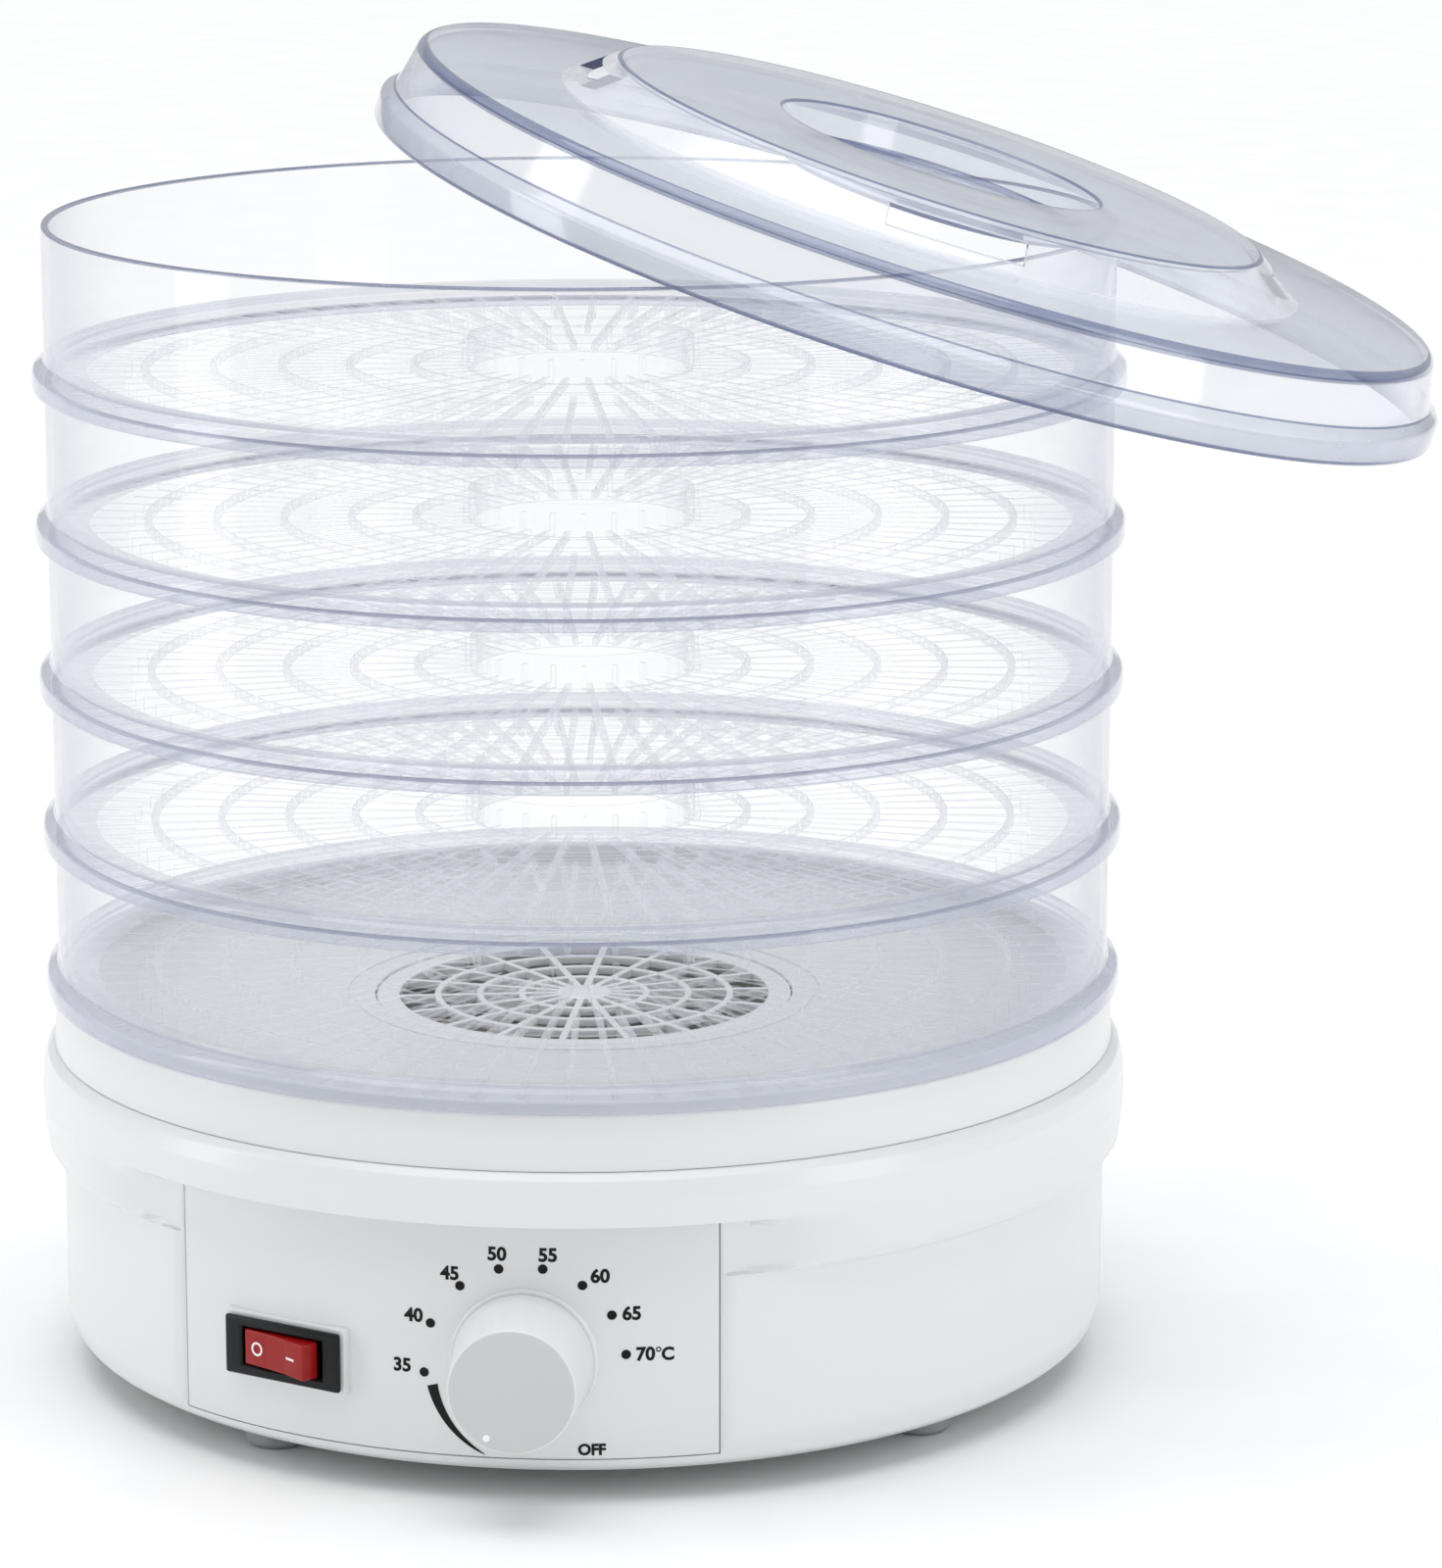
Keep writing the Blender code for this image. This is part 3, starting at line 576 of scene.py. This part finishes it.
def make_housing():
    """The lower housing with its bulged collar and the panel's window, and the cover that it carries."""
    levels = (66, 68, 70, 72, 74, 76, 77.5, 78.4)
    band = [(153.9 + 1.4 * sin(radians(90 * (z - 64.0) / 16.0)), z, 0.0) for z in levels]
    outline = [
        (145.4, 99.5, 0.3), (148.2, 99.5, 0.3), (148.2, 93.37, 0.0), (151.9, 93.37, 1.2), (153.9, 91.4, 2.0),
        (155.0, 87.0, 4.0), (155.4, 80.4, 0.0), (155.4, 79.5, 0.0), (155.4, 79.32, 0.0), (155.39, 79.1, 0.0),
        *reversed(band), (153.2, 64.6, 0.0), (151.6, 63.4, 0.0), (150.2, 62.85, 0.0), (149.6, 62.6, 0.0),
        (149.6, 62.2, 0.0), (149.6, 40.0, 0.0), (149.6, 17.0, 8.0), (147.6, 11.0, 5.0), (143.6, 8.4, 3.0),
        (140.0, 8.0, 1.0),
        (137.6, 8.0, 0.3), (137.6, 11.1, 0.0), (128.0, 11.1, 0.4), (128.0, 14.5, 0.4), (142.0, 14.5, 2.0),
        (147.0, 19.0, 2.0), (147.0, 90.0, 0.0), (145.4, 90.0, 0.3),
    ]
    housing = turned("base_housing_shell", outline, steps=288)
    shoulder_blend(housing)
    edge = WINDOW_HALF_ANGLE
    # How the window's sides open outwards: degrees past the edge, and radius.
    flare = [
        (0.0, 148.2), (0.15, 148.5), (0.4, 148.85), (0.75, 149.2), (1.15, 149.45), (1.6, 149.62),
        (2.0, 160.0),
    ]
    side = [(edge, 140.0)] + [(edge + a, r) for a, r in flare]
    arc = [(edge * s / 12, 160.0) for s in range(11, -12, -1)]
    back = [(-edge * s / 12, 140.0) for s in range(11, -12, -1)]
    plan = side + arc + [(-a, r) for a, r in reversed(side)] + back
    points = [(r * sin(radians(a)), -r * cos(radians(a))) for a, r in plan]
    window = flat("panel_window", points, WINDOW_LOW, WINDOW_HIGH)
    combine(housing, window)
    hole = turned(
        "gland_hole", [(0.0, 20.0, 0), (7.0, 20.0, 0), (7.0, -20.0, 0), (0.0, -20.0, 0)], 40, closed=False
    )
    hole.matrix_world = UNSTAND @ facing_out(GLAND_AZIMUTH, BODY_RADIUS, GLAND_Z)
    combine(housing, hole)
    put(paint(housing, HOUSING_WHITE), STAND)
    hand_over(housing, "base", ["base_housing"])

    cover = turned("top_cover_shell", [
        (147.4, 112.2, 0.8), (150.0, 112.2, 0.8), (150.0, 108.9, 0.4), (150.8, 108.4, 0.9),
        (151.6, 93.4, 0.7), (148.6, 93.4, 0.3), (148.6, 101.5, 0.0), (63.0, 101.5, 0.0), (63.0, 98.0, 0.4),
        (57.0, 98.0, 0.4),
        (57.0, 100.6, 0.3), (60.0, 100.6, 0.0), (60.0, 104.0, 0.4), (66.0, 104.0, 0.0), (66.0, 103.4, 0.2),
        (68.0, 103.4, 0.2), (68.0, 104.0, 0.2), (143.0, 104.0, 0.6), (147.4, 106.0, 1.5),
    ], steps=240)
    put(paint(cover, HOUSING_WHITE), STAND)
    hand_over(cover, "base", ["top_cover"])


def radial_bars(name, count, inner, outer, width, low, high, first=0.0):
    """Bars that point away from the centre."""
    bar = block(name, (inner, -width / 2, low), (outer, width / 2, high))
    return ring_copies(bar, count, first)


def make_underside():
    """The underside cover with its air slots, the feet, the cord's gland and the deck's grille."""
    cover = turned("underside_cover", [
        (0.0, 10.8, 0), (137.2, 10.8, 0.3), (137.2, 8.3, 0.6), (128.0, 8.3, 0.3), (127.0, 8.9, 0.3),
        (66.0, 8.9, 0.3), (65.0, 8.3, 0.3), (62.0, 8.3, 0.3), (61.0, 8.9, 0.3), (16.0, 8.9, 0.3),
        (15.0, 8.3, 0.3), (0.0, 8.3, 0),
    ], steps=180, closed=False)
    slots = block("intake_slots", (22.0, -2.5, 4.0), (54.0, 2.5, 16.0))
    only(slots)
    edit()
    bpy.ops.mesh.select_all(action="DESELECT")
    leave()
    for line in slots.data.edges:
        a, b = (slots.data.vertices[i].co for i in line.vertices)
        line.select = abs(a.z - b.z) > 5 * MM
    bpy.ops.object.mode_set(mode="EDIT")
    bpy.ops.mesh.select_mode(type="EDGE")
    bpy.ops.mesh.bevel(offset=2.45 * MM, segments=5, affect="EDGES")
    leave()
    ring_copies(slots, INTAKE_SLOTS)
    combine(cover, slots)
    hole = turned(
        "screw_hole", [(0.0, 14.0, 0), (1.9, 14.0, 0), (1.9, 4.0, 0), (0.0, 4.0, 0)], 24, closed=False
    )
    for azimuth in SCREW_AZIMUTHS:
        copy = duplicate(hole)
        copy.matrix_world = UNSTAND @ standing(azimuth, SCREW_RING)
        combine(cover, copy)
    bpy.data.objects.remove(hole, do_unlink=True)
    put(paint(cover, HOUSING_WHITE), STAND)
    hand_over(cover, "base", ["bottom_cover"])

    for index, azimuth in enumerate(FOOT_AZIMUTHS):
        foot = turned(f"rubber_foot_{index + 1}", [
            (0.0, 8.0, 0), (9.5, 8.0, 0.4), (8.6, 1.2, 1.2), (7.4, 0.0, 0.8), (5.0, 0.0, 0.5),
            (4.4, 0.7, 0.5), (0.0, 0.7, 0),
        ], 64, closed=False)
        put(paint(foot, FOOT_RUBBER), standing(azimuth, FOOT_RING))
        hand_over(foot, "base", [f"foot_{index + 1}"])

    gland = turned("inlet_gland", [
        (3.6, 5.0, 0.5), (6.2, 5.0, 1.0), (9.0, 3.2, 0.8), (9.0, 0.3, 0.4), (6.6, 0.3, 0.1), (6.6, -9.0, 0.4),
        (3.6, -9.0, 0.3),
    ], 64)
    put(paint(gland, SWITCH_BLACK), facing_out(GLAND_AZIMUTH, BODY_RADIUS, GLAND_Z))
    hand_over(gland, "base", ["cord_gland"])

    rings = [turned("grille_frame", [
        (53.0, 101.0, 0.3), (59.6, 101.0, 0.4), (59.6, 103.4, 0.5), (53.0, 103.4, 0.4),
    ], 144)]
    for radius in (17.0, 29.0, 41.0):
        outer = radius + 2.0
        rings.append(turned("ring", [
            (radius, 101.0, 0.2), (outer, 101.0, 0.2), (outer, 103.3, 0.5), (radius, 103.3, 0.5),
        ], 96))
    hub = turned(
        "hub", [(0.0, 103.4, 0), (8.0, 103.4, 0.6), (8.0, 101.0, 0.3), (0.0, 101.0, 0)], 64, closed=False
    )
    grille = joined("air_grille", rings + [hub])
    bars = radial_bars("bars", 18, 7.0, 54.0, 2.0, 101.1, 103.2)
    combine(grille, bars, "UNION", "MANIFOLD")
    put(paint(grille, HOUSING_WHITE), STAND)
    hand_over(grille, "base", ["outlet_grille"])


# Controls ---------------------------------------------------------------------------------------

def make_panel():
    """The curved panel with the knob's round seat, the switch's pad and their openings."""
    panel = turned("front_panel", [
        (145.7, 13.0, 0.0), (148.3, 13.0, 0.0), (148.3, 79.0, 0.0), (145.7, 79.0, 0.0),
    ], steps=48, angle=PANEL_ANGLE)
    put(panel, STAND @ Matrix.Rotation(radians(-90.0 + PANEL_ANGLE / 2), 4, "Z"))
    round_edges(panel, 0.55, 50.0)
    dial = facing_out(KNOB_AZIMUTH, PANEL_RADIUS, KNOB_Z)
    spot = facing_out(SWITCH_AZIMUTH, PANEL_RADIUS, SWITCH_Z)
    seat = turned(
        "knob_seat", [(0.0, 1.2, 0), (19.9, 1.2, 0.7), (19.9, -2.0, 0), (0.0, -2.0, 0)], 128, closed=False
    )
    combine(panel, put(seat, dial), "UNION")
    pad = block("switch_pad", (-19.6, -9.3, -2.0), (19.6, 9.3, 0.7), 0.45)
    combine(panel, put(pad, spot), "UNION")
    combine(panel, put(block("switch_hole", (-15.0, -6.6, -9.0), (15.0, 6.6, 9.0)), spot))
    shaft_hole = turned("shaft_hole", [(0, 9, 0), (5.4, 9, 0), (5.4, -9, 0), (0, -9, 0)], 40, closed=False)
    combine(panel, put(shaft_hole, dial))
    paint(panel, PANEL_WHITE)
    hand_over(panel, "base", ["control_panel"], 40.0)


def wrap(piece, azimuth, height, lift):
    """Lays a flat print in mm on the panel's round face."""
    for vertex in piece.data.vertices:
        x, y, z = vertex.co
        angle = radians(azimuth) + x / (PANEL_RADIUS * MM)
        reach = (PANEL_RADIUS + lift) * MM + z
        vertex.co = (reach * sin(angle), -reach * cos(angle), height * MM + y - FEET)
    return piece


def lettering(text, size, x, y):
    """A line of figures as a thin mesh at a place on the dial, in mm from the knob's axis."""
    start()
    bpy.ops.object.text_add()
    words = bpy.context.object
    words.data.body = text
    words.data.size = size * MM
    words.data.align_x = "CENTER"
    words.data.align_y = "CENTER"
    words.data.extrude = 0.02 * MM
    words.data.offset = 0.00018
    words.data.resolution_u = 6
    words.location = (x * MM, y * MM, 0.0)
    bpy.ops.object.convert(target="MESH")
    words = bpy.context.object
    bpy.ops.object.transform_apply(location=True, rotation=True, scale=True)
    edit()
    bpy.ops.mesh.remove_doubles(threshold=0.0000005)
    bpy.ops.mesh.normals_make_consistent(inside=False)
    return leave()


def on_dial(angle, radius):
    """A point round the knob, by an angle in degrees clockwise from the top."""
    return radius * sin(radians(angle)), radius * cos(radians(angle))


def make_dial():
    """The printed scale: dots, figures, a swelling arc, the degree sign and OFF."""
    prints = []
    # Each figure with its dot's angle and its own place.
    scale = (
        ("35", -97.0, -33.4, -2.0), ("40", -67.5, -30.0, 12.2), ("45", -38.5, -19.8, 24.6),
        ("50", -13.8, -7.0, 30.6), ("55", 11.0, 6.6, 30.6), ("60", 35.0, 20.4, 24.8),
        ("65", 59.0, 28.8, 14.3), ("70", 83.5, 32.4, 2.9),
    )
    for _, angle, _, _ in scale:
        x, y = on_dial(angle, DOT_RING)
        dot = turned("dot", [
            (0.0, 0.04, 0), (DOT_RADIUS, 0.04, 0), (DOT_RADIUS, -0.04, 0), (0.0, -0.04, 0),
        ], 24, closed=False)
        prints.append(put(dot, Matrix.Translation((x * MM, y * MM, 0))))
    for figure, _, x, y in scale:
        prints.append(lettering(figure, FIGURE_SIZE, x, y))
    prints.append(lettering("C", 4.9, 38.4, 2.7))
    ring = turned("degree", [(0.42, 0.04, 0), (0.72, 0.04, 0), (0.72, -0.04, 0), (0.42, -0.04, 0)], 20)
    prints.append(put(ring, Matrix.Translation((35.9 * MM, 4.2 * MM, 0))))
    prints.append(lettering("OFF", OFF_SIZE, 18.0, -23.4))

    steps = 24
    outer, inner = [], []
    for step in range(steps + 1):
        part = step / steps
        angle = -105.0 - 52.0 * part
        middle = 25.8 + 1.6 * part
        half = 1.4 * (1.0 - part) ** 0.8 + 0.08
        outer.append(on_dial(angle, middle + half))
        inner.append(on_dial(angle, middle - half))
    prints.append(flat("arc", outer + inner[::-1], -0.04, 0.04))
    marks = joined("dial_print", prints)
    wrap(marks, KNOB_AZIMUTH, KNOB_Z - DIAL_DROP, 0.06)
    paint(marks, PRINT_BLACK)
    hand_over(marks, "base", [])


def make_knob():
    """The knob, hollow at the back, with a white dot on its face."""
    dial = facing_out(KNOB_AZIMUTH, PANEL_RADIUS, KNOB_Z)
    knob = turned("dial_knob", [
        (0.0, KNOB_FACE_HEIGHT, 0), (17.1, KNOB_FACE_HEIGHT, 1.1), (18.5, 5.0, 0.0), (19.0, 1.6, 0.5),
        (16.2, 1.6, 0.3), (15.4, 20.0, 1.0),
        (6.0, 20.0, 0.5), (6.0, 8.0, 0.4), (3.4, 8.0, 0.2), (3.4, 22.4, 0.0), (0.0, 22.4, 0),
    ], 144, closed=False, bends=6)
    paint(knob, KNOB_WHITE, KNOB_FACE_SHADE)
    # Faces on the knob's flat front take the darker grey of painted shade.
    for face in knob.data.polygons:
        x, y, z = face.center / MM
        face.material_index = int(z > KNOB_FACE_HEIGHT - 0.15 and hypot(x, y) < 17.0)
    put(knob, dial)
    hand_over(knob, "knob", ["knob"])
    x, y = on_dial(208.0, 14.4)
    dot = turned(
        "knob_dot", [(0.0, 27.15, 0), (0.95, 27.15, 0.2), (0.95, 26.0, 0), (0.0, 26.0, 0)], 32, closed=False
    )
    put(paint(dot, MARK_WHITE), dial @ Matrix.Translation((x * MM, y * MM, 0)))
    hand_over(dot, "knob", [])


def make_switch():
    """The switch's black frame and case, the rocker in its well and the rocker's marks."""
    spot = facing_out(SWITCH_AZIMUTH, PANEL_RADIUS, SWITCH_Z)
    bezel = block("switch_frame", (-18.6, -8.2, 1.0), (18.6, 8.2, 2.7), 0.7)
    combine(bezel, block("case", (-14.6, -6.2, -20.0), (14.6, 6.2, 2.0)), "UNION")
    well = block("well", (-13.2, -5.4, -9.0), (13.2, 5.4, 4.0))
    only(well)
    edit()
    bpy.ops.mesh.select_all(action="DESELECT")
    leave()
    for face in well.data.polygons:
        face.select = face.normal.z > 0.9
    bpy.ops.object.mode_set(mode="EDIT")
    bpy.ops.transform.translate(value=(0, 0, -1.9 * MM))
    bpy.ops.mesh.extrude_region_move(TRANSFORM_OT_translate={"value": (0, 0, 1.9 * MM)})
    bpy.ops.transform.resize(value=(1.12, 1.28, 1.0))
    leave()
    combine(bezel, well)
    paint(put(bezel, spot), SWITCH_BLACK)
    hand_over(bezel, "base", ["switch_housing"])

    half, face = 11.5, 4.9
    side = rounded([
        (-half, face, 0.5), (-half - 0.6, 0.0, 0.5), (-6.0, -5.5, 1.0), (6.0, -5.5, 1.0),
        (half + 0.6, 0.0, 0.5), (half, face, 0.5), (3.6, face - 0.75, 3.0), (-3.6, face - 0.75, 3.0),
    ], 3)
    rocker = flat("rocker_button", [(p.x, p.y) for p in side], -4.95, 4.95, 0.4)
    turn = spot @ Matrix.Rotation(radians(ROCKER_REST), 4, "Y")
    put(rocker, turn @ Matrix.Rotation(pi / 2, 4, "X"))
    paint(rocker, ROCKER_RED)
    hand_over(rocker, "rocker", ["rocker"])
    ring = turned("ring", [(1.35, 0.05, 0), (1.95, 0.05, 0), (1.95, -0.05, 0), (1.35, -0.05, 0)], 40)
    slope = radians(5.5)
    put(ring, turn @ Matrix.Translation((-7.0 * MM, 0, (face - 0.42) * MM)) @ Matrix.Rotation(slope, 4, "Y"))
    dash = block("dash", (-1.7, -0.32, -0.05), (1.7, 0.32, 0.05))
    put(dash, turn @ Matrix.Translation((6.0 * MM, 0, (face - 0.5) * MM)) @ Matrix.Rotation(-slope, 4, "Y"))
    marks = paint(joined("rocker_marks", [ring, dash]), MARK_WHITE)
    hand_over(marks, "rocker", [])


# Trays and lid ----------------------------------------------------------------------------------

def make_trays():
    """One tray, modelled once and copied up the stack."""
    wall = turned("tray", [
        (147.8, 41.2, 0.85), (150.0, 41.2, 0.85), (150.0, 3.4, 1.6), (153.4, 1.0, 2.2), (153.4, -4.8, 1.7),
        (150.6, -4.8, 0.4), (150.6, -1.5, 0.2), (138.5, -1.5, 0.3), (138.5, 0.7, 0.3), (147.8, 0.7, 1.4),
    ], 180)
    rings = [wall, turned("chimney", [
        (30.0, 8.0, 0.7), (32.0, 8.0, 0.7), (32.0, -1.5, 0.2), (30.0, -1.5, 0.2),
    ], 96)]
    for radius, steps in ((46.0, 96), (64.0, 120), (83.0, 144), (102.0, 180), (121.0, 180)):
        rings.append(turned("ring", [
            (radius, 0.7, 0.3), (radius + 2.0, 0.7, 0.3), (radius + 2.0, -1.5, 0.0), (radius, -1.5, 0.0),
        ], steps, bends=2))
    tray = joined("tray", rings)
    combine(tray, radial_bars("bars", 36, 31.2, 139.5, 1.7, -1.35, 0.55), "UNION", "MANIFOLD")
    combine(tray, radial_bars("bars", 36, 64.8, 139.5, 1.7, -1.35, 0.55, 5.0), "UNION", "MANIFOLD")
    combine(tray, radial_bars("fins", 24, 31.3, 34.4, 1.3, -0.9, 5.6, 2.5), "UNION", "MANIFOLD")
    combine(tray, radial_bars("ribs", 72, 128.0, 147.2, 1.3, -5.9, -1.0), "UNION", "MANIFOLD")
    paint(tray, TRAY_WALL, TRAY_FLOOR, TRAY_EDGE_SHADE, TRAY_FLANGE_SHADE)
    wall_finish, floor_finish, edge_painted_shade, flange_painted_shade = range(4)
    for face in tray.data.polygons:
        x, y, z = face.center / MM
        if hypot(x, y) < 147.4:
            face.material_index = floor_finish
        # The rim top takes the dark painted shade.
        elif z > TRAY_RIM - 1.0:
            face.material_index = edge_painted_shade
        # The flange band takes the darker painted shade.
        elif z < 3.4:
            face.material_index = flange_painted_shade
        else:
            face.material_index = wall_finish
    only(tray)
    bpy.ops.object.shade_smooth_by_angle(angle=radians(32))
    for index in range(TRAY_COUNT):
        copy = duplicate(tray)
        copy.name = f"clear_tray_{index + 1}"
        place = Matrix.Translation((0, 0, (FIRST_FLANGE + index * TRAY_PITCH) * MM))
        put(copy, STAND @ place)
        hand_over(copy, f"tray_{index + 1}", [f"tray_{index + 1}"])
    bpy.data.objects.remove(tray, do_unlink=True)


def make_lid():
    """The lid: flange, low wall, flat ring, raised plateau with four slots in its side, and a finger bowl."""
    lid = turned("clear_lid", [
        (0.0, 17.5, 0), (42.4, 17.5, 2.5), (46.2, 28.0, 1.0), (93.0, 28.0, 2.2), (106.2, 17.8, 1.8),
        (146.6, 17.25, 3.4), (150.0, 3.2, 1.6), (153.4, 0.8, 2.2), (153.4, -6.8, 1.9), (150.6, -6.8, 0.4),
        (150.6, -1.5, 0.5), (147.9, -1.5, 0.5), (145.0, 15.4, 2.4), (104.6, 15.9, 1.4), (91.4, 26.2, 1.4),
        (48.2, 26.2, 1.4), (44.4, 15.7, 2.2), (0.0, 15.7, 0),
    ], 216, closed=False, bends=5)
    paint(lid, LID_WALL, LID_TOP, LID_EDGE_SHADE, LID_FROST, LID_FLANGE_SHADE)
    vents = block("vents", (85.0, -19.0, 19.6), (106.0, 19.0, 24.8))
    paint(vents, LID_FROST, VENT_END_SHADE)
    # The slots' end walls take the near-black painted shade.
    for face in vents.data.polygons:
        face.material_index = int(abs(face.normal.y) > 0.9)
    ring_copies(vents, VENT_COUNT, VENT_AZIMUTH)
    combine(lid, vents)
    wall_finish, top_finish, edge_painted_shade, frost_finish, flange_painted_shade = range(5)
    for face in lid.data.polygons:
        if face.material_index > flange_painted_shade:
            continue
        x, y, z = face.center / MM
        radius = hypot(x, y)
        # Corners of the lid's outline take the dark painted shade.
        top_corner = radius > 144.6 and z > 13.6
        plateau_corner = 90.8 < radius < 95.0 and z > 25.2
        flange_corner = 149.9 < radius < 151.4 and 1.8 < z < 3.4
        lip_corner = radius > 150.0 and z < -5.4
        bowl_corner = 41.0 < radius < 48.5 and (z > 26.0 or z < 19.0)
        if top_corner or plateau_corner or flange_corner or lip_corner or bowl_corner:
            face.material_index = edge_painted_shade
        # The flange takes the darker painted shade.
        elif radius > 150.3:
            face.material_index = flange_painted_shade
        elif 90.0 < radius < 107.0:
            face.material_index = frost_finish
        elif radius < 145.0:
            face.material_index = top_finish
        else:
            face.material_index = wall_finish
    put(lid, lid_place())
    hand_over(lid, "lid", ["lid"])


def finish_insides():
    """The fan, heater and fixings keep their shapes and take finished materials."""
    for name, material in {
        "fan_motor": MOTOR_IRON, "motor_bracket": STEEL, "motor_screw_1": STEEL, "motor_screw_2": STEEL,
        "motor_shaft": STEEL, "fan_impeller": FAN_BLACK, "heater_duct": STEEL, "heater_mica": MICA_SHEET,
        "heating_coil": STEEL, "thermal_cutout": STEEL,
        "terminal_block": SWITCH_BLACK, "gland_nut": SWITCH_BLACK,
        "thermostat_shaft": STEEL, "thermostat_body": STEEL, "thermostat_nut": STEEL, "cover_screw_1": STEEL,
        "cover_screw_2": STEEL, "cover_screw_3": STEEL, "cover_screw_4": STEEL,
    }.items():
        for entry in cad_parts[name].material_slots:
            entry.material = material


make_stage()
make_housing()
make_underside()
make_panel()
make_dial()
make_knob()
make_switch()
make_trays()
make_lid()
finish_insides()
